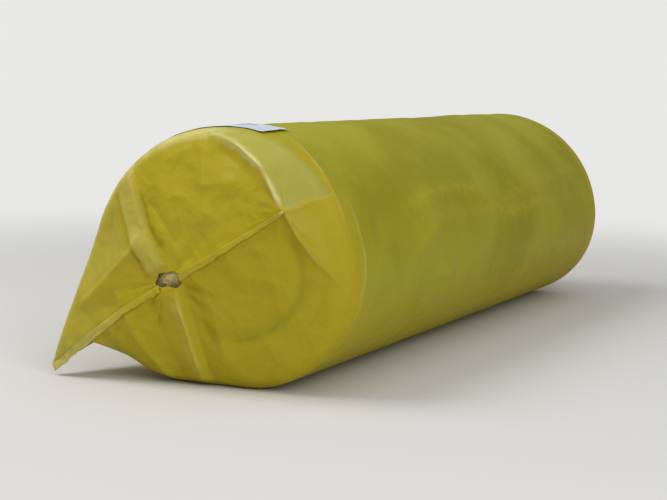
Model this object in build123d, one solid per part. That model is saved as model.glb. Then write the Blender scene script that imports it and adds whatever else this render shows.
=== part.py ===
from build123d import *
import math
import os

# Sizes in millimetres. X runs across the roll, Y along its axis and Z up. The end with the
# label is at -Y, and the middle of the settled underside is at the origin.

# The wound blanket
blanket_width = 1200.0
wound_layer = 26.0
eye_radius = 17.0
wool_edge_bevel = 9.0
turn_line_width = 3.0
turn_line_depth = 5.0
arcs_per_turn = 6

# The outside of the bag. A soft roll sags: it is wider than tall and rests on a strip of its
# underside.
crown_radius = 200.0
rest_width = 90.0

# The film, and how loosely it lies on the wool
film_wall = 0.8
film_gap = 0.5
end_slack = 5.0
rim_turns = [(9.0, 14.0), (12.0, 34.0), (60.0, 52.0)]

# The pillow ends. The bag is a lay-flat tube, so the seams at both ends lie the same way.
seam_angle = 31.0
pillow_rise = 46.0
pillow_crown = 7.0
seam_band = 17.0
seam_lean = 62.0

# Each seam ends in a loose ear on one side. On the other side the ear is tucked in. The ear is
# a pocket between the two films, pulled tight from the rim, with a flat welded tip. Both
# lengths are measured past the roll's side, and the tuck's width in from the other side.
ear_length = 84.0
ear_tip_foot = 52.0
pocket_length = 46.0
pocket_spread = 43.0
pocket_foot = 120.0
pocket_root = 70.0
pocket_proud = 4.0
tuck_width = 54.0
tuck_drop = 34.0

# The label, with its ends as angles up from the right-hand side
label_width = 88.0
label_thickness = 0.5
label_gap = 0.15
label_setback = 24.0
label_first_angle = 74.0
label_last_angle = 158.0

flank_radius = crown_radius - rest_width / 2
bag_height = crown_radius + flank_radius
rim_y = blanket_width / 2 + end_slack
ridge_y = rim_y + pillow_rise
ear_reach = crown_radius + ear_length
pocket_reach = crown_radius + pocket_length
tuck_start = crown_radius - tuck_width
wool_inset = film_wall + film_gap
root_depth = 2 * film_wall
far = 4 * bag_height


def roll_section(inset):
    """The sagged section of the roll, drawn this far inside the bag's outer skin."""
    half_width = crown_radius - inset
    half_rest = rest_width / 2
    flank = flank_radius - inset
    crown = CenterArc((0, flank_radius), half_width, 0, arc_size=180)
    left = RadiusArc((-half_width, flank_radius), (-half_rest, inset), -flank)
    underside = Line((-half_rest, inset), (half_rest, inset))
    right = RadiusArc((half_rest, inset), (half_width, flank_radius), -flank)
    return Plane.XZ * make_face(crown + left + underside + right)


def section_radius(angle, inset):
    """Distance from the winding's middle to the sagged section, at an angle from +X."""
    across = math.cos(angle)
    up = math.sin(angle)
    flank = flank_radius - inset
    half_rest = rest_width / 2
    if up >= 0:
        return crown_radius - inset
    if flank * abs(across) <= half_rest * abs(up):
        return flank / abs(up)
    return half_rest * abs(across) + math.sqrt(flank**2 - (half_rest * up) ** 2)


def along_seam():
    """Direction of both seams, up to the right."""
    slope = math.radians(seam_angle)
    return Vector(math.cos(slope), 0, math.sin(slope))


def plane_across_seam():
    """Cuts the front seam square at the rim's level: X points out of the end."""
    return Plane((0, -rim_y, bag_height / 2), x_dir=(0, -1, 0), z_dir=along_seam())


def plane_through_seam():
    """Holds the front seam and the roll's axis: X points out of the end, Y along the seam."""
    normal = along_seam().cross(Vector(0, -1, 0)) * -1
    return Plane((0, -rim_y, bag_height / 2), x_dir=(0, -1, 0), z_dir=normal)


def pillow_slopes(inset):
    """Prism along the seam: two slightly crowned slopes that meet at the seam."""
    rise = pillow_rise - inset
    half = crown_radius
    back = -2 * ridge_y
    chord = math.hypot(half, pillow_rise)
    slope_radius = (chord**2 / 4 + pillow_crown**2) / (2 * pillow_crown)
    outline = RadiusArc((-inset, -half), (rise, 0), slope_radius)
    outline += RadiusArc((rise, 0), (-inset, half), slope_radius)
    outline += Polyline((-inset, half), (back, half), (back, -half), (-inset, -half))
    return extrude(plane_across_seam() * make_face(outline), amount=far, both=True)


def tucked_side(inset):
    """Prism across the seam: it falls off to the rim where the ear is tucked in."""
    rise = pillow_rise - inset
    back = -2 * ridge_y
    half = crown_radius
    foot = rise - tuck_drop
    outline = Polyline(
        (back, -far),
        (rise, -far),
        (rise, tuck_start),
        (foot, half),
        (foot, far),
        (back, far),
        close=True,
    )
    return extrude(plane_through_seam() * make_face(outline), amount=far, both=True)


def at_rim(angle, inset):
    """A point of the tube just under its skin, at an angle in degrees from +X."""
    turn = math.radians(angle)
    radius = section_radius(turn, inset) - root_depth
    return Vector(radius * math.cos(turn), -rim_y, flank_radius + radius * math.sin(turn))


def ear_pocket(inset):
    """The pocket of an ear: flat facets from the rim and the seam to a point past the roll."""
    ear_angle = 180 + seam_angle
    middle = Vector(0, -ridge_y, bag_height / 2)
    welded = seam_band * inset / film_wall
    tip = middle - along_seam() * (pocket_reach - welded) + Vector(0, inset - pocket_proud, 0)
    root = middle - along_seam() * pocket_root + Vector(0, root_depth + inset, 0)
    back = Vector(0, root_depth + inset, 0)
    upper = at_rim(ear_angle - pocket_spread, inset) + back
    lower = at_rim(ear_angle + pocket_spread, inset) + back
    foot = at_rim(ear_angle, inset) + Vector(0, pocket_foot, 0)
    return ConvexPolyhedron([tip, root, upper, lower, foot])


def bag_form(inset):
    """The closed shape of the filled bag: a sagged tube with two pillow ends."""
    section = roll_section(inset)
    straight = rim_y - rim_turns[0][0] - inset
    tube = extrude(section, amount=straight, both=True)
    end = pillow_slopes(inset) & tucked_side(inset)
    face = Pos(0, -straight, 0) * section
    for length, taper in rim_turns:
        stretch = extrude(face, amount=length, taper=taper)
        tube += stretch + mirror(stretch, Plane.XZ)
        face = stretch.faces().sort_by(Axis.Y)[0]
    pocket = ear_pocket(inset)
    return (tube & end & mirror(end, Plane.XZ)) + pocket + mirror(pocket, Plane.XZ)


def seam_fin():
    """The heat-sealed band of two films along the front seam, leaning down the slope."""
    lean = math.radians(seam_lean)
    reach = Vector(math.cos(lean), math.sin(lean)) * seam_band
    half = Vector(-math.sin(lean), math.cos(lean)) * film_wall
    root = Vector(pillow_rise - film_wall, 0)
    corners = [root - half, root + half, root + reach + half, root + reach - half]
    band = make_face(Polyline(*corners, close=True))
    start = plane_across_seam().offset(-ear_reach)
    return extrude(start * band, amount=ear_reach + tuck_start)


def ear_tip():
    """The flat welded tip of an ear: two films pressed together past their pocket."""
    start = pocket_reach - seam_band
    outline = Polyline(
        (pillow_rise, -start),
        (pillow_rise, -ear_reach),
        (pillow_rise - ear_tip_foot, -start),
        close=True,
    )
    return extrude(plane_through_seam() * make_face(outline), amount=film_wall, both=True)


def film_bag():
    """One piece of film: tube, pillow ends, seams and ears, hollow for the wool."""
    trim = seam_fin() + ear_tip()
    return bag_form(0) + trim + mirror(trim, Plane.XZ) - bag_form(film_wall)


def turn_line():
    """Face of the line between the turns, a spiral from the eye out to the last turn."""
    mean_radius = (crown_radius + flank_radius) / 2 - wool_inset
    wound = mean_radius - eye_radius
    arcs = round((wound / wound_layer - 0.6) * arcs_per_turn)
    sides = []
    for side in (-1, 1):
        points = []
        for step in range(2 * arcs + 1):
            turn = step / (2 * arcs_per_turn)
            angle = 2 * math.pi * turn
            span = section_radius(angle, wool_inset) - eye_radius
            radius = eye_radius + span * turn * wound_layer / wound + side * turn_line_width / 2
            points.append((radius * math.cos(angle), flank_radius + radius * math.sin(angle)))
        sides.append([ThreePointArc(*points[2 * k : 2 * k + 3]) for k in range(arcs)])
    inner, outer = sides
    start = Line(inner[0] @ 0, outer[0] @ 0)
    end = Line(outer[-1] @ 1, inner[-1] @ 1)
    return Plane.XZ * make_face([*inner, end, *outer, start])


def wool_roll():
    """The wound blanket: soft end edges, the eye right through, and its turns on the ends."""
    half = blanket_width / 2
    roll = extrude(roll_section(wool_inset), amount=half, both=True)
    ends = roll.faces().filter_by(Axis.Y)
    roll = chamfer(ends.edges(), wool_edge_bevel)
    eye = Plane.XZ * Pos(0, flank_radius) * Circle(eye_radius)
    roll -= extrude(eye, amount=half, both=True)
    groove = Pos(0, -half + turn_line_depth, 0) * extrude(turn_line(), amount=2 * turn_line_depth)
    return roll - groove - mirror(groove, Plane.XZ)


def label():
    """The paper strip round the bag, close behind the front rim."""
    band = roll_section(-label_gap - label_thickness) - roll_section(-label_gap)
    corners = [(0, flank_radius)]
    for share in (0, 0.5, 1):
        turn = label_first_angle + share * (label_last_angle - label_first_angle)
        angle = math.radians(turn)
        corners.append((far * math.cos(angle), flank_radius + far * math.sin(angle)))
    wedge = Plane.XZ * make_face(Polyline(*corners, close=True))
    strip = extrude(band & wedge, amount=label_width)
    return Pos(0, -rim_y + label_setback + label_width, 0) * strip


os.makedirs("parts", exist_ok=True)
export_step(wool_roll(), "parts/wool_roll.step")
export_step(film_bag(), "parts/film_bag.step")
export_step(label(), "parts/label.step")
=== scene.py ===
import math

import bpy
import numpy as np
from mathutils import Matrix, Vector, noise


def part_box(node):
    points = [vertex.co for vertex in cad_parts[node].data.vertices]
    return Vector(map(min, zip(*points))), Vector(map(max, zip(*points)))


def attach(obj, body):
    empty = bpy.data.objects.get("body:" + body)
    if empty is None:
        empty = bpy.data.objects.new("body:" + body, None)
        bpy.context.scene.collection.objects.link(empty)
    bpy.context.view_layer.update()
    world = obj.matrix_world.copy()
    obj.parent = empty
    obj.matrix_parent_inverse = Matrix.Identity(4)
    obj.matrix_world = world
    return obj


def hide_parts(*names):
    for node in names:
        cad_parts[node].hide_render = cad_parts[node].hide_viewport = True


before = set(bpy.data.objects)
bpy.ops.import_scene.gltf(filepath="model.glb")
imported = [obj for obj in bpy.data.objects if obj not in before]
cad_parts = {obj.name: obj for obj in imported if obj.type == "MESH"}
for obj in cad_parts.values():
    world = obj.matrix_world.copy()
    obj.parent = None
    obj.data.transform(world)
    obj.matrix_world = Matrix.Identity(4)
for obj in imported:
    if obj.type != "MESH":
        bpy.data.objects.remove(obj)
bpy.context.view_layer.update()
bpy.ops.object.select_all(action="DESELECT")


# The wound blanket
# Glass wool, wound up on itself without a core and sagged a little under its own weight. Its
# turns show on both ends as a spiral of torn fibre edges round the eye. Sizes are in metres.
wool_low, wool_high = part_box("wool_roll")
rest_half = 0.045
eye_radius = 0.017
wool_layer = 0.026
wool_inset = wool_low.z
crown_radius = wool_high.x + wool_inset
flank_radius = crown_radius - rest_half
wool_end = wool_high.y
wool_edge = 0.012
wool_columns = 200
wool_end_rows = 64
wool_edge_rows = 5
wool_side_rows = 36
turn_line_depth = 0.005
turn_line_half = 0.0022
turn_line_margin = 0.003
fleece_fuzz = 0.0016
fleece_lump = 0.02
side_clearance = 0.0015
seam_angle = math.radians(31.0)
join_gap = 0.00002

# The loose wool that swells into the front end behind the tear: X and Z of its middle, how far it
# stands out, its reach along and across the seam, and the height and size of its tufts
burst_at = (-0.044, 0.151)
burst_lift = 0.052
burst_along = 0.085
burst_across = 0.042
burst_tufts = 0.0045
tuft_size = 0.006


def section_reach(angle, pole_z, inset):
    """Distance from (0, pole_z) to the sagged section, at angles from +X."""
    across = np.cos(angle)
    up = np.sin(angle)
    rise = pole_z - flank_radius
    crown = crown_radius - inset
    flank = flank_radius - inset
    to_crown = -rise * up + np.sqrt(crown**2 - (rise * across) ** 2)
    lead = rest_half * np.abs(across) - rise * up
    to_flank = lead + np.sqrt(np.maximum(lead**2 - rest_half**2 - rise**2 + flank**2, 0.0))
    to_floor = (pole_z - inset) / np.maximum(-up, 1e-6)
    on_floor = (up < 0) & (np.abs(to_floor * across) <= rest_half)
    return np.where(rise + to_crown * up >= 0, to_crown, np.where(on_floor, to_floor, to_flank))


def held(values):
    """The values, held between 0 and 1."""
    return np.clip(values, 0.0, 1.0)


def bell(values):
    """1 where a value is 0, and falling smoothly to nearly 0 from 2 on."""
    return np.exp(-(values**2))


def noise_over(x, y, z, size, octaves=3):
    """Smooth noise of about -1 to 1 at each point, with lumps of this size."""
    parts = np.broadcast_arrays(x, y, z)
    places = zip(*[part.ravel() / size for part in parts])
    values = [noise.fractal(Vector(place), 0.9, 2.0, octaves) for place in places]
    return np.array(values).reshape(parts[0].shape)


def wrap_grid(name, x, y, z):
    """A flat grid, wrapped in code onto these places."""
    rows, columns = x.shape
    bpy.ops.mesh.primitive_grid_add(
        x_subdivisions=columns - 1, y_subdivisions=rows - 1, size=1.0, location=(0, 0, 0)
    )
    piece = bpy.context.object
    piece.name = name
    piece.data.name = name
    places = np.stack((x, y, z), axis=-1).astype(np.float32)
    piece.data.vertices.foreach_set("co", places.ravel())
    piece.data.update()
    return piece


def keep_values(piece, name, values):
    """Stores one number per vertex, for a material to read."""
    layer = piece.data.attributes.new(name, "FLOAT", "POINT")
    layer.data.foreach_set("value", np.ravel(values).astype(np.float32))


def close_up(piece, gap):
    """Joins the edges that meet, turns the faces outwards and shades them smooth."""
    bpy.context.view_layer.objects.active = piece
    piece.select_set(True)
    bpy.ops.object.mode_set(mode="EDIT")
    bpy.ops.mesh.select_all(action="SELECT")
    bpy.ops.mesh.remove_doubles(threshold=gap)
    bpy.ops.mesh.normals_make_consistent(inside=False)
    bpy.ops.object.mode_set(mode="OBJECT")
    bpy.ops.object.shade_smooth()
    piece.select_set(False)


wool_angle = np.linspace(0.0, 2.0 * math.pi, wool_columns + 1)
edge_turn = np.linspace(0.0, math.pi / 2, wool_edge_rows + 1)[1:]
end_share = np.linspace(0.0, 1.0, wool_end_rows)
side_y = np.linspace(-wool_end + wool_edge, wool_end - wool_edge, wool_side_rows)[1:-1]
wool_reach = section_reach(wool_angle, flank_radius, wool_inset)
flat_reach = wool_reach - wool_edge
rows_reach = [eye_radius + (flat_reach - eye_radius) * share for share in end_share]
rows_y = [np.full_like(wool_angle, -wool_end) for share in end_share]
for turn in edge_turn:
    rows_reach.append(flat_reach + wool_edge * math.sin(turn))
    rows_y.append(np.full_like(wool_angle, -wool_end + wool_edge * (1 - math.cos(turn))))
front_rows = len(rows_y)
rows_reach += [wool_reach for y in side_y]
rows_y += [np.full_like(wool_angle, y) for y in side_y]
rows_reach += rows_reach[:front_rows][::-1]
rows_y += [-y for y in rows_y[:front_rows][::-1]]
rows_reach.append(rows_reach[0])
rows_y.append(rows_y[0])
reach = np.array(rows_reach)
wool_y = np.array(rows_y)
wool_x = reach * np.cos(wool_angle)
wool_z = flank_radius + reach * np.sin(wool_angle)
turns_wound = (flank_radius + crown_radius) / 2 - wool_inset - eye_radius
turn = (reach - eye_radius) / (wool_reach - eye_radius) * turns_wound / wool_layer
turn -= wool_angle / (2.0 * math.pi)
off_line = np.abs(turn - np.round(turn)) * wool_layer
in_line = bell(off_line / turn_line_half)
on_face = held((np.abs(wool_y) - wool_end + turn_line_margin) / turn_line_margin)
fuzz = noise_over(wool_x, wool_y, wool_z, fleece_lump)
end_drop = on_face * (turn_line_depth * in_line + fleece_fuzz * (1 + fuzz))
sunk = side_clearance + fleece_fuzz * 0.5 * (1 - fuzz)
wool_x -= sunk * np.cos(wool_angle)
wool_z -= sunk * np.sin(wool_angle)
wool_y -= np.sign(wool_y) * end_drop
burst_x = wool_x - burst_at[0]
burst_z = wool_z - burst_at[1]
burst_u = burst_x * math.cos(seam_angle) + burst_z * math.sin(seam_angle)
burst_w = burst_z * math.cos(seam_angle) - burst_x * math.sin(seam_angle)
from_burst = np.hypot(burst_u / burst_along, burst_w / burst_across)
loose = np.where((wool_y < 0) & (on_face > 0), bell(from_burst), 0.0)
tufts = noise_over(wool_x, wool_y * 0.2, wool_z, tuft_size)
wool_y -= burst_lift * loose - burst_tufts * loose**3 * np.abs(tufts)
wool_y -= 0.8 * turn_line_depth * in_line * loose
wool_roll = wrap_grid("wool_roll_wound", wool_x, wool_y, wool_z)
keep_values(wool_roll, "turn_line", in_line * on_face * (1.0 - 0.8 * loose))
close_up(wool_roll, join_gap)


def add_node(tree, kind, **settings):
    """A node with these settings; a name that starts with in_ sets that input."""
    node = tree.nodes.new(kind)
    for key, value in settings.items():
        if key.startswith("in_"):
            node.inputs[key[3:].replace("_", " ")].default_value = value
        else:
            setattr(node, key, value)
    return node


def rgb(red, green, blue):
    """An on-screen colour of 0 to 255 as the linear colour that a socket takes."""
    shares = [value / 255 for value in (red, green, blue)]
    linear = [s / 12.92 if s <= 0.04045 else ((s + 0.055) / 1.055) ** 2.4 for s in shares]
    return (*linear, 1.0)


def feed(tree, socket, value):
    """Gives an input a plain value, or links another node's output to it."""
    if isinstance(value, (tuple, float)):
        socket.default_value = value
    else:
        tree.links.new(value, socket)


def blend_colours(tree, factor, first, second):
    """A colour that goes from first to second as factor goes from 0 to 1."""
    mix = add_node(tree, "ShaderNodeMix", data_type="RGBA")
    for index, value in ((0, factor), (6, first), (7, second)):
        feed(tree, mix.inputs[index], value)
    return mix.outputs[2]


def ramp(tree, value, low, high, out_low=0.0, out_high=1.0):
    """A number that goes smoothly from out_low to out_high as value goes from low to high."""
    node = add_node(tree, "ShaderNodeMapRange", interpolation_type="SMOOTHSTEP")
    for index, number in enumerate((low, high, out_low, out_high)):
        node.inputs[index + 1].default_value = number
    tree.links.new(value, node.inputs[0])
    return node.outputs[0]


def arithmetic(tree, operation, first, second):
    """One sum of two numbers or sockets."""
    node = add_node(tree, "ShaderNodeMath", operation=operation)
    for socket, value in zip(node.inputs, (first, second)):
        feed(tree, socket, value)
    return node.outputs[0]


def stored(tree, name):
    """A number kept on the mesh's vertices."""
    return add_node(tree, "ShaderNodeAttribute", attribute_name=name).outputs["Fac"]


def new_material(name, **constants):
    """A material with one Principled shader, whose sockets get these constants."""
    material = bpy.data.materials.new(name)
    material.use_nodes = True
    shader = material.node_tree.nodes["Principled BSDF"]
    for label, value in constants.items():
        shader.inputs[label.replace("_", " ")].default_value = value
    return material, material.node_tree, shader


wool_tones = (rgb(224, 195, 106), rgb(244, 219, 136))
hair_tone = rgb(250, 237, 182)
gap_tone = rgb(172, 142, 78)
turn_line_tone = rgb(120, 96, 60)
fleece, tree, shader = new_material("glass_wool", Roughness=0.95)
place = add_node(tree, "ShaderNodeTexCoord").outputs["Object"]
clumps = add_node(tree, "ShaderNodeTexNoise", in_Scale=38.0, in_Detail=5.0, in_Roughness=0.7)
fibres = add_node(
    tree,
    "ShaderNodeTexWave",
    bands_direction="DIAGONAL",
    in_Scale=70.0,
    in_Distortion=22.0,
    in_Detail=5.0,
    in_Detail_Scale=1.4,
    in_Detail_Roughness=0.75,
)
for pattern in (clumps, fibres):
    tree.links.new(place, pattern.inputs["Vector"])
tone = ramp(tree, clumps.outputs["Fac"], 0.35, 0.68)
colour = blend_colours(tree, tone, *wool_tones)
hair = ramp(tree, fibres.outputs["Fac"], 0.45, 0.95, 0.0, 0.5)
colour = blend_colours(tree, hair, colour, hair_tone)
gap = ramp(tree, fibres.outputs["Fac"], 0.0, 0.25, 0.25, 0.0)
colour = blend_colours(tree, gap, colour, gap_tone)
line = ramp(tree, stored(tree, "turn_line"), 0.1, 0.9, 0.0, 0.7)
colour = blend_colours(tree, line, colour, turn_line_tone)
tree.links.new(colour, shader.inputs["Base Color"])
bump = add_node(tree, "ShaderNodeBump", in_Strength=0.8, in_Distance=0.0015)
height = arithmetic(tree, "ADD", fibres.outputs["Fac"], clumps.outputs["Fac"])
tree.links.new(height, bump.inputs["Height"])
tree.links.new(bump.outputs["Normal"], shader.inputs["Normal"])
wool_roll.data.materials.append(fleece)
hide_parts("wool_roll")
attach(wool_roll, "root")


# The film bag
# A length of yellow blown tube, drawn over the roll and heat sealed flat across both ends. Being
# a flat tube, it has spare film at both ends of a seam: a loose ear on the left, and on the
# right an ear that is folded down over the rim and tucked in.
film_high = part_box("film_bag")[1]
pole_z = film_high.z / 2
end_slack = 0.005
rim_y = wool_end + end_slack
pillow_rise = 0.046
pillow_crown = 0.007
crown_from = 0.12
panel_crown = 0.003
rim_round = 0.016
ear_round = 0.004
ear_reach = 0.285
ear_sag = 0.019
ear_sag_from = 0.13
ear_sag_width = 0.16
sag_ease = 1.3
upper_ease = 1.3
lower_ease = 1.2
notch_reach = 0.222
notch_turn = math.radians(1.6)
notch_height = 0.041
pocket_foot = 0.12
floor_gap = 0.0004

# How finely the film is drawn: columns round the bag, and rows over an end and along the tube
half_columns = 164
notch_columns = 8
cap_rows = 52
corner_rows = 14
round_rows = 7
first_depth = 0.022
near_rows = 34
near_depth = 0.16
middle_rows = 86

# The fold of the tucked corner, in millimetres along and across the seam, and a reach that stands
# for no fold
folded_corner = [(75, 157), (117, 115), (145, 61), (146, 0), (150, -60), (157, -119)]
no_fold = 9.0

film_turn = np.concatenate(
    (
        np.linspace(0.0, math.pi, half_columns + 1),
        np.linspace(math.pi, math.pi + notch_turn, notch_columns + 1)[1:],
        np.linspace(math.pi + notch_turn, 2.0 * math.pi, half_columns + 1)[1:],
    )
)
above = film_turn <= math.pi
from_ear = np.abs(film_turn - math.pi)
bag_reach = section_reach(seam_angle + film_turn, pole_z, 0.0)
ear_root = float(section_reach(seam_angle + math.pi, pole_z, 0.0))
cos_turn = np.cos(film_turn)
sin_turn = np.sin(film_turn)


tight_ears = 80
tight_angles = 400


def tight_lines():
    """For ears of several lengths, the lean and end of the film's straight run on each side."""
    lengths = np.linspace(ear_root + 0.0005, ear_reach + 0.001, tight_ears)
    opening = np.linspace(0.0, math.pi / 2, tight_angles)
    tables = []
    for side in (-1, 1):
        reach = section_reach(seam_angle + math.pi + side * opening, pole_z, 0.0)
        lean = np.arctan2(reach * np.sin(opening), lengths[:, None] - reach * np.cos(opening))
        last = np.argmax(lean, axis=1)
        tables.append((lean[np.arange(len(lengths)), last], opening[last]))
    return lengths, tables


tight_lengths, tight_tables = tight_lines()


def straight_run(out, leans, ends, reach):
    """The section's reach, pulled straight from a point this far out to the roll."""
    lean = np.interp(out, tight_lengths, leans)
    end = np.interp(out, tight_lengths, ends)
    line = out * np.sin(lean) / np.sin(from_ear + lean)
    return np.where((from_ear < end) & (out > ear_root), np.maximum(line, reach), reach)


def pulled_reach(ear):
    """The section with an ear this far out. Below the seam the film is drawn in to a notch."""
    reach = np.broadcast_to(bag_reach, ear.shape)
    upper = straight_run(ear, *tight_tables[0], reach)
    notch = ear_root + (ear - ear_root) * (notch_reach - ear_root) / (ear_reach - ear_root)
    lower = straight_run(notch, *tight_tables[1], reach)
    at_notch = lower[..., half_columns + notch_columns, None]
    to_notch = np.maximum(notch_turn - from_ear, 0.0)
    flap = ear * at_notch * math.sin(notch_turn)
    flap = flap / (ear * np.sin(from_ear) + at_notch * np.sin(to_notch) + 1e-9)
    lower = np.where(from_ear < notch_turn, np.maximum(flap, reach), lower)
    return np.where(above, upper, lower)


def ear_at(depth):
    """How far out the ear's loose edge is, this far behind the rim."""
    share = held((pocket_foot - depth) / (pocket_foot + pillow_rise))
    return ear_root + (ear_reach - ear_root) * share


upper_end = tight_tables[0][1][-1]
lower_end = np.interp(notch_reach, tight_lengths, tight_tables[1][1])
upper_share = held(1.0 - from_ear / upper_end)
lower_share = held(1.0 - (from_ear - notch_turn) / (lower_end - notch_turn))
upper_height = pillow_rise * upper_share**upper_ease
flap_height = pillow_rise + (notch_height - pillow_rise) * from_ear / notch_turn
lower_height = notch_height * lower_share**lower_ease
lower_height = np.where(from_ear < notch_turn, flap_height, lower_height)
ear_height = np.where(above, upper_height, lower_height)
rim_reach = pulled_reach(ear_at(-ear_height))
rim_u = rim_reach * cos_turn
rim_w = rim_reach * sin_turn


def fine_line(points, steps):
    """Points close together along a bent line."""
    runs = [np.linspace(a, b, steps) for a, b in zip(points[:-1], points[1:])]
    return np.concatenate(runs)


corner = np.array(folded_corner) / 1000.0
fold_u, fold_w = fine_line(corner, 40).T
corner_turn = np.arctan2(fold_w, fold_u)[::-1]
corner_reach = np.hypot(fold_u, fold_w)[::-1]
near_turn = np.where(film_turn > math.pi, film_turn - 2.0 * math.pi, film_turn)
fold_reach = np.interp(near_turn, corner_turn, corner_reach, left=no_fold, right=no_fold)


def facet_height(u, w):
    """The two big facets of an end, from the seam down to the rim."""
    height = np.zeros_like(u)
    upper = (w >= 0, above, corner[0][0])
    lower = (w < 0, film_turn >= math.pi, corner[-1][0])
    for side, half, last in (upper, lower):
        order = np.argsort(rim_u[half])
        line_u = rim_u[half][order]
        width = np.interp(np.minimum(u, last), line_u, np.abs(rim_w[half])[order])
        foot = np.interp(u, line_u, ear_height[half][order])
        share = np.clip(np.abs(w) / np.maximum(width, 1e-4), 0.0, 1.3)
        crown = pillow_crown * held(width / crown_from)
        facet = pillow_rise + (foot - pillow_rise) * share + crown * 4 * share * (1 - share)
        height = np.where(side, facet, height)
    return height


corner_height = facet_height(fold_reach * cos_turn, fold_reach * sin_turn)


def cap_height(reach):
    """Height of the cap over the rim, for rows of points at these reaches."""
    facet = facet_height(reach * cos_turn, reach * sin_turn)
    past = held((reach - fold_reach) / np.maximum(rim_reach - fold_reach, 0.002))
    panel = corner_height * (1 - past) + panel_crown * 4 * past * (1 - past)
    return np.where(reach > fold_reach, panel, facet)


def near_route(px, py, route):
    """Distance from a bent line, how far along it that is, and whether it lies to the left."""
    points = np.array(route)
    runs = np.diff(points, axis=0)
    lengths = np.hypot(*runs.T)
    gone = np.concatenate(([0.0], np.cumsum(lengths)))
    best = np.full(px.shape, np.inf)
    share = np.zeros(px.shape)
    left = np.zeros(px.shape, bool)
    for start, run, length, before in zip(points, runs, lengths, gone):
        along = held(((px - start[0]) * run[0] + (py - start[1]) * run[1]) / length**2)
        distance = np.hypot(px - start[0] - along * run[0], py - start[1] - along * run[1])
        closer = distance < best
        best = np.where(closer, distance, best)
        share = np.where(closer, (before + along * length) / gone[-1], share)
        on_left = run[0] * (py - start[1]) > run[1] * (px - start[0])
        left = np.where(closer, on_left, left)
    return best, share, left


def rounded(route):
    """A bent line with its corners cut off three times."""
    points = np.array(route, float)
    for step in range(3):
        first = 0.75 * points[:-1] + 0.25 * points[1:]
        second = 0.25 * points[:-1] + 0.75 * points[1:]
        middle = np.stack((first, second), axis=1).reshape(-1, 2)
        points = np.concatenate((points[:1], middle, points[-1:]))
    return points


def beside(px, py, route, ease):
    """Millimetres from a bent line, how it fades at both ends, and whether it is to the left."""
    distance, share, left = near_route(px, py, np.array(route) / 1000.0)
    fade = held(np.minimum(share, 1 - share) / ease)
    return distance * 1000.0, fade, left


def crease(px, py, route, height, spread, power):
    """A fold along a bent line that fades at both ends: sharp at power 1, rounded at 2. Two
    spreads are those of the line's left and right side."""
    distance, fade, left = beside(px, py, route, fold_fade)
    wide = np.where(left, spread[0], spread[1]) if isinstance(spread, tuple) else spread
    return height / 1000.0 * fade * np.exp(-((distance / wide) ** power))


def fan(u, w, at, height, near, far, folds, seed):
    """Fine folds that spread like rays from a gathered spot and die out, in millimetres."""
    du = u * 1000.0 - at[0]
    dw = w * 1000.0 - at[1]
    away = np.hypot(du, dw)
    turn = np.arctan2(dw, du)
    ray = noise_over(np.cos(turn), np.sin(turn), seed, 2.0 / folds, 2)
    swell = held(away / near) * np.exp(-((away / far) ** 1.5))
    return height / 1000.0 * swell * (0.6 - np.abs(ray) * 2.0)


# The shares of their length over which folds, marks on the wool, pale bands and hoops fade out
fold_fade = 0.12
mark_fade = 0.2
band_fade = 0.1
hoop_fade = 0.2
# Where the last turn of the wool and its outer edge show through the film of the front end
last_turn = [(127, -16), (134, -45), (123, -81), (100, -106)]
last_turn += [(67, -122), (27, -126), (-12, -119), (-40, -99)]
wool_rim = [(152, -84), (130, -118), (96, -143), (50, -152)]
# Folds of an end: a bent line in millimetres along and across the seam, height, spread, power
front_folds = [
    ([(62, 170), (86, 151), (117, 115), (145, 61), (146, 0)], 7.5, (13.0, 4.0), 1.0),
    ([(146, 0), (172, -3), (200, -4)], 5.0, (14.0, 5.0), 1.0),
    ([(148, 8), (146, -40), (148, -75), (157, -122)], 5.5, (12.0, 3.5), 1.0),
    ([(84, 128), (112, 84), (126, 30)], -3.5, 11.0, 1.0),
    ([(-205, 34), (-141, 46), (-95, 59), (-60, 74)], 12.0, 24.0, 1.0),
    ([(-196, 28), (-170, 17), (-141, 10)], -7.0, 13.0, 1.0),
    ([(-44, -6), (-62, -62), (-91, -137), (-98, -158)], 12.0, (7.0, 32.0), 1.0),
    ([(-135, -2), (-142, -60), (-137, -130)], 9.0, (10.0, 18.0), 1.0),
    ([(-90, -2), (-104, -60), (-122, -130)], -5.0, 14.0, 1.0),
    ([(-37, -12), (-39, -54), (-50, -112)], -5.0, 13.0, 1.4),
    ([(-36, -8), (-50, -58), (-78, -134), (-86, -155)], -4.5, (9.0, 4.0), 1.0),
    ([(66, 160), (61, 120), (50, 80)], 2.6, 7.0, 1.2),
    ([(-50, 132), (-53, 80), (-44, 34)], -4.0, 6.0, 1.0),
    (rounded(last_turn), -5.5, 9.0, 1.5),
    (rounded(wool_rim), -2.0, 7.0, 1.5),
    ([(60, 20), (20, 80), (-28, 130)], 3.2, 14.0, 1.3),
    ([(146, 0), (90, 70), (30, 100)], 3.0, 12.0, 1.0),
    ([(90, -10), (80, -80), (60, -140)], 4.0, 15.0, 1.3),
    ([(-100, 134), (-128, 92), (-172, 60)], -5.0, 10.0, 1.0),
    ([(-276, 4), (-235, 26), (-190, 60)], 5.0, 12.0, 1.0),
    ([(-20, 30), (-30, 80), (-44, 120)], -3.0, 9.0, 1.0),
]
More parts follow.
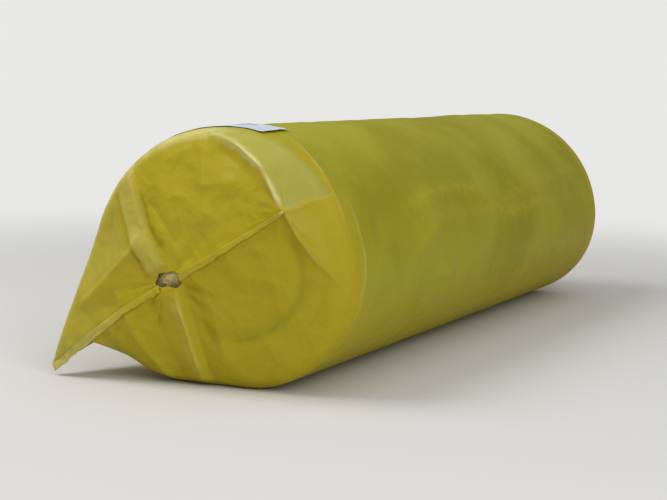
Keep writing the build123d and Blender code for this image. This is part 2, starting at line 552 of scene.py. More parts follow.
# Fans of fine folds: where they are gathered, height, how far out they are highest and how far
# they reach, in millimetres, how many there are, and a number for their noise
front_fans = [
    ((-54, 0), 3.0, 40.0, 80.0, 7, 1.0),
    ((146, -2), 3.2, 22.0, 60.0, 9, 2.0),
    ((-284, -6), 4.0, 40.0, 120.0, 14, 3.0),
]
back_folds = front_folds[:3] + [
    ([(-186, 30), (-120, 40), (-60, 20)], 10.0, 24.0, 1.0),
    ([(-70, 4), (-40, 70), (-20, 150)], 11.0, 18.0, 1.0),
    ([(10, -4), (-10, -80), (-30, -160)], 10.0, 18.0, 1.0),
    ([(60, -2), (50, -70), (70, -140)], -6.0, 14.0, 1.0),
    ([(-150, -4), (-120, -60), (-124, -126)], 9.0, 15.0, 1.0),
    ([(-170, 20), (-110, 4), (-60, 0)], -6.0, 14.0, 1.0),
]
back_fans = [
    ((20, 0), 3.4, 34.0, 90.0, 10, 5.0),
    ((146, -2), 3.2, 22.0, 60.0, 9, 6.0),
    ((-284, -6), 4.0, 40.0, 120.0, 14, 7.0),
]
# The raised pleat of spare film, from the rim down to the tear: its middle, half its width at both
# ends, its height and the width of its left and right slope, in millimetres
pleat_route = [(-74, 165), (-69, 140), (-70, 80), (-65, 10)]
pleat_half = (17.0, 13.0)
pleat_height = 9.0
pleat_slopes = (4.0, 9.0)
pleat_fade = 0.08
# The tear in millimetres along and across the seam, and the reach, curl and frays of its lip
tear_outline = [(-74, 3), (-66, -6), (-55, -9), (-46, -17), (-37, -14)]
tear_outline += [(-33, -2), (-43, 7), (-52, 9), (-62, 13)]
lip_reach = 0.004
lip_curl = 0.002
ragged_size = 0.009
# Fine relief as a height and a size, or for the ripples of an end as a height and their reach
front_ripples = (0.0014, 0.028)
back_ripples = (0.0034, 0.065)
ripple_size = 0.014
end_swell = (0.0018, 0.09)
end_crumple = (0.0055, 0.052)
tube_crumple = (0.002, 0.07)
tube_swell = (0.0014, 0.16)
tube_grain = (0.0005, 0.06)
deepest_dent = 0.0008


def pleat(u, w):
    """Height of the raised band of the pleat, steeper on its left side."""
    distance, share, left = near_route(u, w, np.array(pleat_route) / 1000.0)
    half = pleat_half[0] + (pleat_half[1] - pleat_half[0]) * share
    edge = held((half + 3.0 - distance * 1000.0) / np.where(left, *pleat_slopes))
    fade = held((1.0 - share) / pleat_fade)
    return pleat_height / 1000.0 * fade * edge * edge * (3 - 2 * edge)


def crumpled(x, y, z, size):
    """Heights of about 0 to 0.5 of a crumpled film: dents of this size that meet in ridges."""
    bent = 0.35 * noise_over(x, y, z, size * 3, 2)
    parts = (x / size + bent, y / size - bent, z / size + 0 * bent)
    places = zip(*[part.ravel() for part in parts])
    values = [noise.voronoi(Vector(place))[0][0] ** 2 for place in places]
    return np.array(values).reshape(bent.shape)


# How far the film of an end stands off the wool, how much less in places and how large those are
end_off = 0.012
end_off_less = 0.002
end_off_size = 0.03
# Where it lies closer still: a bent line, half its width and how much closer, in millimetres
wool_marks = [
    (last_turn, 7.0, 6.5),
    (wool_rim, 6.0, 3.0),
    ([(-8, 59), (30, 38), (74, 21)], 6.0, 3.0),
    ([(-46, 72), (-37, 60), (-14, 50)], 4.0, 4.0),
    ([(-49, 132), (-33, 126), (-11, 124)], 4.0, 4.0),
    ([(26, 135), (37, 124), (50, 108)], 3.5, 4.5),
    ([(44, 118), (40, 97), (40, 78)], 4.0, 4.0),
    ([(-113, 97), (-104, 58)], 4.0, 4.0),
]


def resting(u, w, seed):
    """How far the film of an end stands off the wool: less on the marks above."""
    near = held(noise_over(u, w, seed + 20, end_off_size, 2))
    off = end_off - end_off_less * near
    for route, half, nearer in wool_marks:
        distance, fade, left = beside(u, w, rounded(route), mark_fade)
        off = off - nearer / 1000.0 * fade * bell(distance / half)
    return off


# Painted highlights on the folds of gathered film: a bent line, half its width in millimetres and
# how pale it is
highlight_bands = [
    ([(70, 160), (90, 145), (117, 115), (145, 61), (146, -4)], 3.8, 1.0),
    ([(84, 146), (104, 126), (124, 98), (138, 66)], 6.5, 0.8),
    ([(-205, 36), (-141, 48), (-95, 61), (-70, 70)], 4.0, 0.3),
    ([(-190, 26), (-168, 12), (-149, 2)], 6.0, 0.22),
    ([(-56, -16), (-72, -64), (-99, -137)], 8.0, 0.22),
    ([(-46, -10), (-62, -62), (-91, -137)], 2.5, 0.3),
    ([(146, 0), (172, -3), (200, -4)], 3.0, 0.35),
    ([(147, -2), (146, -40), (148, -75), (157, -122)], 3.0, 0.25),
]
# The hinge of the panel on the left, in metres along and across the seam
left_ridge = [(-0.285, 0.0), (-0.205, 0.034), (-0.134, 0.047), (-0.086, 0.055)]


# How far out the cap's rows go, as shares of an end: where there is no fold, and at most
cap_share = 0.9
fold_limit = 0.97
smooth_columns = 25
# How far in from the rim folds and relief fade out
relief_fade = 0.03
crease_fade = 0.01


def end_rows(folds, fans, ripples, with_pleat, seed):
    """Rows of one end, from its middle out to the rim: reach, depth behind the rim, stand-off."""
    radius = rim_round + (ear_round - rim_round) * ear_height / pillow_rise
    inner = rim_reach - radius
    at_fold = np.where(fold_reach < no_fold, fold_reach, cap_share * inner)
    turned = np.concatenate((at_fold[:-1], at_fold[:-1], at_fold))
    window = np.hanning(smooth_columns) / np.hanning(smooth_columns).sum()
    eased = np.convolve(turned, window, mode="same")[len(at_fold) - 1 : 2 * len(at_fold) - 1]
    eased[-1] = eased[0]
    at_fold = np.where(fold_reach < no_fold, fold_reach, eased)
    at_fold = np.minimum(at_fold, fold_limit * inner)
    to_rim = inner - at_fold
    reach = [at_fold * share for share in np.linspace(0.0, 1.0, cap_rows)]
    reach += [at_fold + to_rim * share for share in np.linspace(0.0, 1.0, corner_rows)[1:]]
    sink = [np.zeros_like(inner) for row in reach]
    for turn in np.linspace(math.pi / 2, 0.0, round_rows)[1:]:
        reach.append(rim_reach - radius * (1 - math.cos(turn)))
        sink.append(radius * (1 - math.sin(turn)))
    reach = np.array(reach)
    sink = np.array(sink)
    u = reach * cos_turn
    w = reach * sin_turn
    height = cap_height(reach)
    inside = held((rim_reach - reach) / relief_fade)
    out_to_rim = held((rim_reach - reach) / crease_fade)
    for route, rise, spread, power in folds:
        height += out_to_rim * crease(u, w, route, rise, spread, power)
    for at, rise, near, far, count, number in fans:
        height += inside * fan(u, w, at, rise, near, far, count, number)
    if with_pleat:
        height += held(inside * 1.6) * pleat(u, w)
    swell = noise_over(u, w, seed, end_swell[1])
    ripple = noise_over(u, w * 0.22 + 0.05 * u, seed + 4, ripple_size, 2)
    crumple = crumpled(u, w, seed + 9, end_crumple[1]) - 0.2
    height += inside * end_swell[0] * swell
    height += inside * ripples[0] * ripple * np.exp(-np.abs(w) / ripples[1])
    height += inside * end_crumple[0] * crumple
    return reach, sink - height, resting(u, w, seed)


# Two creases that run round the tube close behind the rim, in millimetres along the roll and
# degrees round it
hoop_creases = [
    [(-529, 76), (-537, 69), (-566, 51), (-580, 36), (-590, 14), (-588, -8), (-582, -24)],
    [(-541, 38), (-551, 23), (-550, 6), (-567, -14), (-572, -30)],
]
# Two long, soft waves on the side that the camera sees, in the same measures
upper_wave = [(-420, 22), (-359, 24), (-278, 27), (-216, 30), (-120, 29), (-59, 26)]
upper_wave += [(-24, 17), (56, 12), (169, 15), (272, 16), (330, 13)]
lower_wave = [(-390, 2), (-358, 6), (-309, 11), (-252, 18), (-126, 18), (-61, 15), (-30, 10)]
# Folds of the tube: a bent line in those measures, height in millimetres, spread and power
tube_folds = [
    (upper_wave, 5.5, 15.0, 1.5),
    (lower_wave, 4.5, 14.0, 1.5),
    ([(60, 18), (112, 21), (197, 25), (263, 25), (410, 28), (560, 28)], 4.5, 14.0, 1.5),
    ([(-350, 4), (-324, 0), (-263, -6), (-200, -8)], 2.6, 14.0, 1.3),
    ([(40, 50), (113, 36), (150, 30)], 2.0, 16.0, 1.5),
    (hoop_creases[0], 4.5, 5.0, 1.0),
    (hoop_creases[1], 3.6, 5.0, 1.0),
    ([(-520, 100), (-500, 60), (-505, 30), (-520, 6)], 1.5, 7.0, 1.0),
    ([(-480, 150), (-490, 175), (-470, 205)], 2.0, 9.0, 1.0),
    ([(-330, 158), (-240, 166), (-120, 162), (0, 170), (130, 165)], 3.4, 12.0, 1.2),
    ([(60, 140), (180, 150), (300, 146), (420, 156)], 3.0, 12.0, 1.2),
    ([(528, 70), (545, 45), (560, 20), (572, -4)], 2.4, 6.0, 1.0),
    ([(520, 150), (545, 130), (560, 100)], 2.2, 6.0, 1.0),
]


def laid_flat(route):
    """A rounded line of the tube in millimetres, from one in millimetres and degrees."""
    return rounded([(y, crown_radius * 1000.0 * math.radians(turn)) for y, turn in route])


def tube_lift(y, x, z):
    """How far the film stands proud of the plain tube, at points of the tube."""
    arc = crown_radius * np.arctan2(z - flank_radius, x)
    lift = np.zeros_like(x)
    for route, height, spread, power in tube_folds:
        lift += crease(y, arc, laid_flat(route), height, spread, power)
    lift += tube_swell[0] * noise_over(x, y * 0.6, z, tube_swell[1])
    lift += tube_grain[0] * noise_over(x * 0.35, y * 1.2, z * 0.35, tube_grain[1], 2)
    lift += tube_crumple[0] * crumpled(x, y, z, tube_crumple[1])
    return np.maximum(lift, -deepest_dent)


front_reach, front_depth, front_off = end_rows(front_folds, front_fans, front_ripples, True, 3.0)
back_reach, back_depth, back_off = end_rows(back_folds, back_fans, back_ripples, False, 8.0)

# Rows of the tube, as depths behind the front rim, closer near both ends
near_end = np.linspace(first_depth, near_depth, near_rows)
middle = np.linspace(near_depth, 2 * rim_y - near_depth, middle_rows)[1:-1]
nominal = np.concatenate((near_end, middle, 2 * rim_y - near_end[::-1]))[:, None]
ends = np.minimum(nominal, 2 * rim_y - nominal)
drawn = ear_height * held(1 - ends / pocket_foot)
depth = np.where(nominal < rim_y, nominal - drawn, nominal + drawn)
behind = np.minimum(depth, 2 * rim_y - depth)
tube_reach = pulled_reach(ear_at(behind))

film_reach = np.concatenate((front_reach, tube_reach, back_reach[::-1]))
film_depth = np.concatenate((front_depth, depth, (2 * rim_y - back_depth)[::-1]))
film_y = film_depth - rim_y
film_u = film_reach * cos_turn
film_w = film_reach * sin_turn


def seam_sag(u):
    """How far an ear hangs below the straight line of its seam."""
    share = np.clip((-u - ear_sag_from) / (ear_reach - ear_sag_from), 0.0, 1.1)
    return ear_sag * share**sag_ease


def from_seam(u, w):
    """X and Z of points along and across the seam."""
    x = u * math.cos(seam_angle) - w * math.sin(seam_angle)
    z = pole_z + u * math.sin(seam_angle) + w * math.cos(seam_angle)
    return x, z


def to_seam(x, z):
    """Distances along and across the seam of points of an end."""
    u = x * math.cos(seam_angle) + (z - pole_z) * math.sin(seam_angle)
    w = -x * math.sin(seam_angle) + (z - pole_z) * math.cos(seam_angle)
    return u, w


at_end = held((np.abs(film_y) - rim_y + pocket_foot) / pocket_foot)
hung = held(1.0 - np.abs(film_w) / ear_sag_width)
film_w -= seam_sag(film_u) * at_end * hung
film_x, film_z = from_seam(film_u, film_w)

tube_part = slice(len(front_reach), len(front_reach) + len(tube_reach))
lift = np.zeros_like(film_x)
lift[tube_part] = tube_lift(film_y[tube_part], film_x[tube_part], film_z[tube_part])
lift *= held(film_z / 0.06)
outward = np.arctan2(film_z - flank_radius, film_x)
film_x += lift * np.cos(outward)
film_z += lift * np.sin(outward)

# The creases are eased a little, but for the sharp edge of the ears
loosely = 0.4 * held((from_ear - 0.05) / 0.05)
for places in (film_x, film_y, film_z):
    ring = np.concatenate((places[:, -2:-1], places, places[:, 1:2]), axis=1)
    round_it = (ring[1:-1, :-2] + ring[1:-1, 2:]) / 2
    along_it = (places[:-2] + places[2:]) / 2
    places[1:-1] += loosely * ((round_it + along_it) / 2 - places[1:-1])
film_z = np.maximum(film_z, floor_gap)

# How far the film of the tube stands off the wool: in the ears, by the rims, more towards the
# bottom of the tube and, blurred along the roll, on the waves
rim_off = 0.012
rim_off_width = 0.06
low_off = 0.008
low_below = 0.16
low_fade = 0.1
wave_share = 0.85
wave_blurs = 9
hollow = tube_reach - bag_reach
near_rim = rim_off * held(1.1 - behind / rim_off_width)
# More stand-off low on the tube, which makes the film more golden towards the bottom
toward_bottom = low_off * held((low_below - film_z[tube_part]) / low_fade)
soft_lift = np.maximum(lift[tube_part], 0.0)
for blur in range(wave_blurs):
    soft_lift[1:-1] = (soft_lift[:-2] + soft_lift[1:-1] + soft_lift[2:]) / 3
off_tube = soft_lift * wave_share + hollow + near_rim + toward_bottom
off_wool = np.concatenate((front_off, off_tube, back_off[::-1]))

# Where the film looks paler, and how much of that look each place has: film in layers that is
# tucked, pleated, loose in the ears or in the pocket by the ear, with painted light shining
# through the ears; a painted sheen of the sky on the upper facet, and on the panel on the left
# both layers and painted sheen
tucked_pale = 0.85
pleat_pale = 0.9
panel_pale = 0.6
pocket_pale = 0.5
upper_sheen = 0.22
panel_from = -0.088
pocket_from = -0.15
panel_fade = 0.012
in_front = np.zeros_like(film_x)
in_front[: len(front_reach)] = 1.0
on_end = in_front.copy()
on_end[-len(back_reach) :] = 1.0
past_fold = held((film_reach - fold_reach) / 0.003) * (film_w > -0.002)
in_ear = held((film_reach - bag_reach - 0.002) / 0.05)
on_pleat = pleat_pale * in_front * held(pleat(film_u, film_w) / 0.009)
ridge_w = np.interp(film_u, *np.array(left_ridge).T)
left_panel = held((film_w - ridge_w) / panel_fade) * held((panel_from - film_u) / panel_fade)
pocket = held((pocket_from - film_u) / 0.05)
# A painted sheen of the sky on the upper facet, above the seam
upper = upper_sheen * held(film_w / 0.02)
layers_and_sheen = np.maximum(np.maximum(tucked_pale * on_end * past_fold, in_ear), on_pleat)
on_left = np.maximum(panel_pale * left_panel, pocket_pale * pocket)
layers_and_sheen = np.maximum(layers_and_sheen, on_end * np.maximum(on_left, upper))
tucked_nearer = 0.0105
off_wool -= tucked_nearer * on_end * past_fold

# Painted highlight, partly on film that looks like milk glass, where the film is gathered, bent
# over the rim or creased in hoops. Round the rim that depends on the angle in degrees from the
# seam
rim_angles = [-180, -60, -20, 45, 66, 128, 180]
rim_highlight = [0.3, 0.0, 0.2, 0.3, 0.95, 0.95, 0.5]
rim_highlight_width = 0.012
hoop_highlight = 0.35
hoop_highlight_half = 4.0
back_of_rim = np.maximum(np.minimum(film_depth, 2 * rim_y - film_depth), 0.0)
from_rim = np.hypot(np.maximum(rim_reach - film_reach, 0.0), back_of_rim)
# The painted highlight is strongest on the upper left of the rim, the side the light falls on
rim_highlight_share = np.interp(np.degrees(near_turn), rim_angles, rim_highlight)
milk_and_highlight = rim_highlight_share * bell(from_rim / rim_highlight_width)
for route, half, pale in highlight_bands:
    distance, fade, left = beside(film_u, film_w, rounded(route), band_fade)
    milk_and_highlight = np.maximum(milk_and_highlight, on_end * pale * fade * bell(distance / half))
arc = crown_radius * np.arctan2(film_z - flank_radius, film_x)
# Painted highlights along the hoop creases of the tube
for route in hoop_creases:
    distance, fade, left = beside(film_y, arc, laid_flat(route), hoop_fade)
    milk_and_highlight = np.maximum(milk_and_highlight, hoop_highlight * (1 - on_end) * fade * bell(distance / hoop_highlight_half))
milk_and_highlight *= 0.8 + 0.4 * noise_over(film_u, film_w, film_y, 0.03, 2)

film_skin = wrap_grid("film_skin", film_x, film_y, film_z)
keep_values(film_skin, "off_wool", off_wool * 1000.0)
keep_values(film_skin, "layers_and_sheen", layers_and_sheen)
keep_values(film_skin, "milk_and_highlight", milk_and_highlight)
close_up(film_skin, join_gap)


def in_outline(u, w, outline):
    """Whether each point lies inside a closed outline."""
    inside = np.zeros(u.shape, bool)
    points = np.array(outline) / 1000.0
    for (u0, w0), (u1, w1) in zip(points, np.roll(points, -1, axis=0)):
        spans = (w0 > w) != (w1 > w)
        if w1 != w0:
            inside ^= spans & (u < (u1 - u0) * (w - w0) / (w1 - w0) + u0)
    return inside


def read_values(items, name, width):
    """Numbers of every vertex or face of a mesh as one array."""
    values = np.zeros(len(items) * width)
    items.foreach_get(name, values)
    return values.reshape(-1, width)


def delete_faces(piece, chosen):
    """Deletes the chosen faces, with the edges and corners that only they have."""
    bpy.context.view_layer.objects.active = piece
    bpy.ops.object.mode_set(mode="EDIT")
    bpy.ops.mesh.select_mode(type="FACE")
    bpy.ops.mesh.select_all(action="DESELECT")
    bpy.ops.object.mode_set(mode="OBJECT")
    piece.data.polygons.foreach_set("select", chosen)
    bpy.ops.object.mode_set(mode="EDIT")
    bpy.ops.mesh.delete(type="FACE")
    bpy.ops.object.mode_set(mode="OBJECT")


def tear_open(piece):
    """Takes out the faces of the tear, and draws its edge to the outline with curled lips."""
    centres = read_values(piece.data.polygons, "center", 3)
    u, w = to_seam(centres[:, 0], centres[:, 2])
    delete_faces(piece, (centres[:, 1] < -rim_y) & in_outline(u, w, tear_outline))
    places = read_values(piece.data.vertices, "co", 3)
    edges = read_values(piece.data.edges, "vertices", 2).astype(int)
    uses = np.zeros(len(edges), int)
    loops = read_values(piece.data.loops, "edge_index", 1).astype(int).ravel()
    np.add.at(uses, loops, 1)
    rim = np.unique(edges[uses == 1])
    u, w = to_seam(places[:, 0], places[:, 2])
    outline = np.array(tear_outline) / 1000.0
    closed = np.concatenate((outline, outline[:1]))
    fine = fine_line(closed, 30)
    for index in rim:
        gap = np.hypot(u[index] - fine[:, 0], w[index] - fine[:, 1])
        u[index], w[index] = fine[np.argmin(gap)]
    distance, share, left = near_route(u, w, closed)
    front = places[:, 1] < -rim_y
    lip = np.exp(-distance[front] / lip_reach)
    ragged = noise_over(u[front], w[front], 0.0, ragged_size, 2)
    places[front, 1] -= lip * (lip_curl * (0.7 + ragged))
    places[:, 0], places[:, 2] = from_seam(u, w)
    piece.data.vertices.foreach_set("co", places.ravel())
    piece.data.update()


tear_open(film_skin)


def keep_bend(piece, blurs):
    """Stores how sharply the surface bends at each corner, in radians for each millimetre."""
    places = read_values(piece.data.vertices, "co", 3)
    normals = read_values(piece.data.vertices, "normal", 3)
    edges = read_values(piece.data.edges, "vertices", 2).astype(int)
    first, second = edges[:, 0], edges[:, 1]
    span = places[first] - places[second]
    length = np.maximum((span**2).sum(1), 4e-6)
    count = np.bincount(edges.ravel(), minlength=len(places))
    bend = np.bincount(first, 2 * (normals[first] * span).sum(1) / length, len(places))
    bend -= np.bincount(second, 2 * (normals[second] * span).sum(1) / length, len(places))
    bend /= count * 1000.0
    for blur in range(blurs):
        shared = np.bincount(first, bend[second], len(places))
        shared += np.bincount(second, bend[first], len(places))
        bend = 0.5 * bend + 0.5 * shared / count
    keep_values(piece, "bend", bend)


bend_blurs = 3
keep_bend(film_skin, bend_blurs)

# Film that lies on the wool, in two tones, film that stands free, film in layers with painted
# sheen, a painted highlight where the film bends outwards and painted shade where it bends
# inwards, and milky film with painted highlights
touching_tones = (rgb(143, 139, 20), rgb(158, 154, 37))
free_tone = rgb(174, 157, 30)
layered_and_sheen_tone = rgb(175, 167, 86)
ridge_highlight_tone = rgb(206, 196, 90)
groove_shade_tone = rgb(120, 100, 8)
milk_highlight_tone = rgb(214, 206, 134)
film, tree, shader = new_material(
    "yellow_film", Roughness=0.48, Specular_IOR_Level=0.0, Coat_Weight=0.25, Coat_Roughness=0.3
)
place = add_node(tree, "ShaderNodeTexCoord").outputs["Object"]
mottle = add_node(
    tree, "ShaderNodeTexNoise", in_Scale=48.0, in_Detail=6.0, in_Roughness=0.65, in_Distortion=0.6
)
drift = add_node(tree, "ShaderNodeTexNoise", in_Scale=5.0, in_Detail=3.0)
warp = add_node(tree, "ShaderNodeTexNoise", in_Scale=14.0, in_Detail=3.0)
for pattern in (mottle, drift, warp):
    tree.links.new(place, pattern.inputs["Vector"])
off = stored(tree, "off_wool")
wander = arithmetic(tree, "SUBTRACT", mottle.outputs["Fac"], 0.5)
wander = arithmetic(tree, "MULTIPLY", wander, 16.0)
free = ramp(tree, arithmetic(tree, "ADD", off, wander), 1.0, 12.0)
touching = blend_colours(tree, ramp(tree, drift.outputs["Fac"], 0.35, 0.65), *touching_tones)
colour = blend_colours(tree, free, touching, free_tone)
# Paler film in layers, with painted sheen and painted light through the ears
layered_and_sheen = ramp(tree, stored(tree, "layers_and_sheen"), 0.0, 1.0, 0.0, 0.55)
colour = blend_colours(tree, layered_and_sheen, colour, layered_and_sheen_tone)
bend = stored(tree, "bend")
# Painted highlight where the film bends outwards, and painted shade where it bends inwards
colour = blend_colours(tree, ramp(tree, bend, 0.02, 0.16, 0.0, 0.55), colour, ridge_highlight_tone)
inwards = arithmetic(tree, "MULTIPLY", bend, -1.0)
colour = blend_colours(tree, ramp(tree, inwards, 0.01, 0.12, 0.0, 0.5), colour, groove_shade_tone)
# Painted highlight, partly on milky film
colour = blend_colours(tree, ramp(tree, stored(tree, "milk_and_highlight"), 0.0, 1.0), colour, milk_highlight_tone)
tree.links.new(colour, shader.inputs["Base Color"])
cells = add_node(tree, "ShaderNodeTexVoronoi", feature="F1", in_Scale=48.0)
shift = add_node(tree, "ShaderNodeVectorMath", operation="MULTIPLY_ADD")
shift.inputs[1].default_value = (0.06, 0.06, 0.06)
tree.links.new(warp.outputs["Color"], shift.inputs[0])
tree.links.new(place, shift.inputs[2])
tree.links.new(shift.outputs[0], cells.inputs["Vector"])
bump = add_node(tree, "ShaderNodeBump", in_Distance=0.002)
tree.links.new(cells.outputs["Distance"], bump.inputs["Height"])
tree.links.new(ramp(tree, off, 2.0, 12.0, 0.35, 1.0), bump.inputs["Strength"])
tree.links.new(bump.outputs["Normal"], shader.inputs["Normal"])
film_skin.data.materials.append(film)
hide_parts("film_bag")
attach(film_skin, "root")


# The end seams
# The two films are welded together along a band across each end. The band is stiffer than the
# film, leans down over the lower facet and is puckered by the heat of the jaws.
seam_start = -ear_reach + 0.002
seam_stop = 0.149
seam_band = 0.012
seam_lean = math.radians(80.0)
seam_wall = 0.0012
seam_over_film = 0.0012
seam_root_sunk = 0.003
pucker_lean = 0.16
pucker_size = 0.03
frayed_share = 0.16
frayed_size = 0.012
seam_ripple = (0.0009, 0.009)
stop_flare = 0.005
stop_flare_width = 0.008
seam_columns = 260
seam_rows = 7
seam_join_gap = 0.00001
# The stretch that the tear has taken out of the front band
seam_gap = (-0.071, -0.037)
# Places along the seam, with the share of the band's width there, and how milky the band is
band_width_at = ([-0.285, -0.1, 0.0, 0.13, 0.15], [1.0, 0.95, 0.9, 0.5, 0.45])
band_milk_at = ([-0.285, -0.17, -0.13, 0.13, 0.15], [0.5, 0.35, 0.14, 0.14, 0.4])


def end_seam(name, side):
    """One welded band; side is -1 in front and 1 behind."""
    along = np.linspace(seam_start, seam_stop, seam_columns + 1)[None, :]
    across = np.linspace(0.0, 1.0, seam_rows + 1)[:, None]
    pucker = noise_over(along, side, 0.0, pucker_size)
    frayed = noise_over(along, 0.0, side, frayed_size)
    lean = seam_lean + pucker_lean * pucker
    width = seam_band * np.interp(along, *band_width_at) * (1 + frayed_share * frayed)
    reach = width * across
    ripple = noise_over(along, across * 0.01, side, seam_ripple[1], 2)
    out = -0.001 + reach * np.cos(lean) + seam_ripple[0] * across * ripple
    w = -reach * np.sin(lean) - seam_sag(along)
    x, z = from_seam(along, w)
    end = slice(0, len(front_reach)) if side < 0 else slice(-len(back_reach), None)
    skin_x, skin_y, skin_z = [places[end, ::2].ravel() for places in (film_x, film_y, film_z)]
    for row in range(seam_rows + 1):
        apart = (x[row][:, None] - skin_x) ** 2 + (z[row][:, None] - skin_z) ** 2
        under = np.abs(skin_y[np.argmin(apart, axis=1)]) - rim_y - pillow_rise
        under = np.convolve(np.pad(under, 4, mode="edge"), np.full(9, 1 / 9), mode="valid")
        out[row] = np.maximum(out[row], under + seam_over_film + 0.001 * across[row])
    out[0] -= seam_root_sunk
    out += stop_flare * across * bell((along - seam_stop) / stop_flare_width)
    y = side * (rim_y + pillow_rise + out)
    piece = wrap_grid(name, x, y, z)
    if side < 0:
        centres = read_values(piece.data.polygons, "center", 3)
        face_u = to_seam(centres[:, 0], centres[:, 2])[0]
        delete_faces(piece, (face_u > seam_gap[0]) & (face_u < seam_gap[1]))
    wall = piece.modifiers.new("two_films", "SOLIDIFY")
    wall.thickness = seam_wall
    wall.offset = 0.0
    bpy.ops.object.modifier_apply(modifier=wall.name)
    close_up(piece, seam_join_gap)
    piece.data.materials.append(film)
    for label, value in (("off_wool", 30.0), ("bend", 0.0), ("layers_and_sheen", 0.0)):
        keep_values(piece, label, np.full(len(piece.data.vertices), value))
    corners = read_values(piece.data.vertices, "co", 3)
    corner_u = to_seam(corners[:, 0], corners[:, 2])[0]
    keep_values(piece, "milk_and_highlight", np.interp(corner_u, *band_milk_at))
    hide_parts("film_bag")
    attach(piece, "root")


end_seam("front_seam", -1)
end_seam("back_seam", 1)


# The label
# A strip of white paper, stuck round the bag close behind the front rim. Its print is left off;
# two rows of plain grey bars stand in its place.
label_low, label_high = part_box("label")
label_first = math.radians(74.0)
label_last = math.radians(158.0)
label_columns = 120
label_rows = 36
label_lift = 0.0011
paper_wall = 0.0003
paper_ripple = (0.0006, 0.03)
end_curl = 0.002
end_curl_power = 14
# Rows of bars as shares of the label: bottom, top, and the start and end of each bar
bar_rows = (
    (0.60, 0.68, (0.12, 0.34, 0.39, 0.62, 0.67, 0.86)),
    (0.47, 0.50, (0.12, 0.29, 0.39, 0.56)),
)

share = np.linspace(0.0, 1.0, label_columns + 1)[None, :]
label_angle = label_first + (label_last - label_first) * share
label_y = np.linspace(label_low.y, label_high.y, label_rows + 1)[:, None] + 0 * share
plain_x = crown_radius * np.cos(label_angle) + 0 * label_y
plain_z = flank_radius + crown_radius * np.sin(label_angle) + 0 * label_y
under = tube_lift(label_y, plain_x, plain_z)
ripple = paper_ripple[0] * noise_over(plain_x, label_y, plain_z, paper_ripple[1])
ends_up = end_curl * held(np.abs(share - 0.5) / 0.5) ** end_curl_power
rise = label_lift + under + ripple + ends_up
label_x = plain_x + rise * np.cos(label_angle)
label_z = plain_z + rise * np.sin(label_angle)
label_strip = wrap_grid("label_strip", label_x, label_y, label_z)
wall = label_strip.modifiers.new("paper", "SOLIDIFY")
wall.thickness = paper_wall
bpy.ops.object.modifier_apply(modifier=wall.name)
close_up(label_strip, seam_join_gap)


def between(tree, value, low, high, soft):
    """1 where the value lies between low and high and 0 elsewhere, with soft steps."""
    up = ramp(tree, value, low, low + soft)
    down = ramp(tree, value, high, high + soft)
    return arithmetic(tree, "SUBTRACT", up, down)


paper, tree, shader = new_material("label_paper", Roughness=0.55)
place = add_node(tree, "ShaderNodeTexCoord").outputs["UV"]
parts = add_node(tree, "ShaderNodeSeparateXYZ")
tree.links.new(place, parts.inputs[0])
grain = add_node(tree, "ShaderNodeTexNoise", in_Scale=30.0, in_Detail=4.0)
tree.links.new(place, grain.inputs["Vector"])
paper_tones = (rgb(186, 198, 213), rgb(206, 215, 226))
bar_tone = rgb(88, 96, 110)
colour = blend_colours(tree, ramp(tree, grain.outputs["Fac"], 0.3, 0.7), *paper_tones)
for bottom, top, stops in bar_rows:
    line = between(tree, parts.outputs["Y"], bottom, top, 0.01)
    for low, high in zip(stops[::2], stops[1::2]):
        bar = between(tree, parts.outputs["X"], low, high, 0.004)
        bar = arithmetic(tree, "MULTIPLY", arithmetic(tree, "MULTIPLY", bar, line), 0.8)
        colour = blend_colours(tree, bar, colour, bar_tone)
tree.links.new(colour, shader.inputs["Base Color"])
label_strip.data.materials.append(paper)
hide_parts("label")
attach(label_strip, "root")


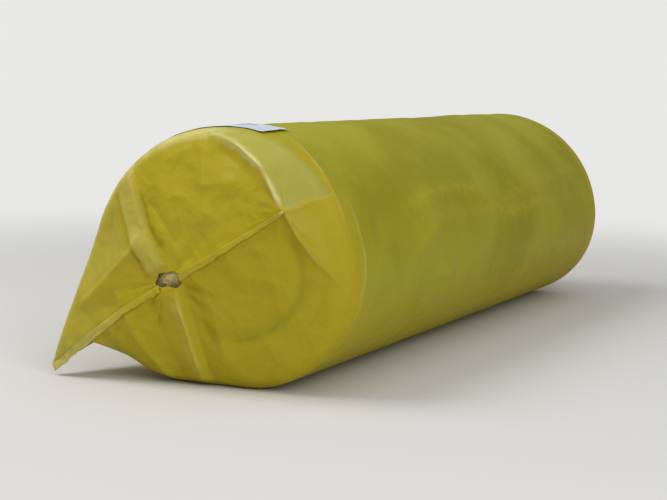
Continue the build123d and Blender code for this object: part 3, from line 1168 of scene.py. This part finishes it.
# The floor
# A plain pale studio floor that fades into the backdrop. It isn't part of the object, and only
# the camera sees it fade.
backdrop_tone = rgb(232, 232, 230)
bpy.ops.mesh.primitive_circle_add(vertices=96, radius=40.0, fill_type="NGON", location=(0, 0, 0))
floor = bpy.context.object
floor.name = "studio_floor"
ground, tree, shader = new_material("pale_floor", Roughness=0.9, Specular_IOR_Level=0.1)
shader.inputs["Base Color"].default_value = rgb(214, 213, 210)
place = add_node(tree, "ShaderNodeTexCoord").outputs["Object"]
away = add_node(tree, "ShaderNodeVectorMath", operation="LENGTH")
tree.links.new(place, away.inputs[0])
glow = add_node(tree, "ShaderNodeEmission")
glow.inputs["Color"].default_value = backdrop_tone
seen = add_node(tree, "ShaderNodeLightPath").outputs["Is Camera Ray"]
mix = add_node(tree, "ShaderNodeMixShader")
far_away = arithmetic(tree, "MULTIPLY", ramp(tree, away.outputs["Value"], 0.8, 2.4), seen)
tree.links.new(far_away, mix.inputs[0])
tree.links.new(shader.outputs[0], mix.inputs[1])
tree.links.new(glow.outputs[0], mix.inputs[2])
tree.links.new(mix.outputs[0], tree.nodes["Material Output"].inputs["Surface"])
floor.data.materials.append(ground)
floor.select_set(False)


# Light and camera
# A dim, even sky, with three large soft lamps: the key high on the left, a weak one overhead and
# a fill on the right. The camera stands where the photographer stood, with a longer lens.
sky_light = 0.5
world = bpy.data.worlds.new("studio")
bpy.context.scene.world = world
world.use_nodes = True
sky = world.node_tree
background = sky.nodes["Background"]
background.inputs["Color"].default_value = backdrop_tone
seen = add_node(sky, "ShaderNodeLightPath").outputs["Is Camera Ray"]
sky.links.new(ramp(sky, seen, 0.0, 1.0, sky_light, 1.0), background.inputs["Strength"])

aim = Vector((-0.0193, -0.1755, 0.1473))


def soft_lamp(name, place, size, power):
    """A square soft lamp that faces the roll."""
    bpy.ops.object.light_add(type="AREA", location=place)
    lamp = bpy.context.object
    lamp.name = name
    lamp.data.size = size
    lamp.data.energy = power
    lamp.rotation_euler = (aim - lamp.location).to_track_quat("-Z", "Y").to_euler()
    lamp.select_set(False)


soft_lamp("key_lamp", (-1.7, -1.2, 2.9), 1.8, 60.0)
soft_lamp("top_lamp", (0.9, -0.2, 3.2), 2.6, 15.0)
soft_lamp("fill_lamp", (2.6, -2.2, 1.8), 2.0, 43.0)

photo_width = 667
zoom = 2.5
focal_pixels = 640.0
camera_place = Vector((1.0472, -2.5073, 0.4353))
camera_roll = 0.0226
bpy.ops.object.camera_add(location=camera_place)
camera = bpy.context.object
camera.name = "photo_camera"
camera.data.sensor_width = 36.0
camera.data.lens = focal_pixels * zoom / photo_width * camera.data.sensor_width
facing = (aim - camera_place).to_track_quat("-Z", "Y").to_matrix()
camera.rotation_euler = (facing @ Matrix.Rotation(camera_roll, 3, "Z")).to_euler()
camera.select_set(False)
bpy.context.scene.camera = camera
bpy.context.scene.view_settings.view_transform = "Standard"
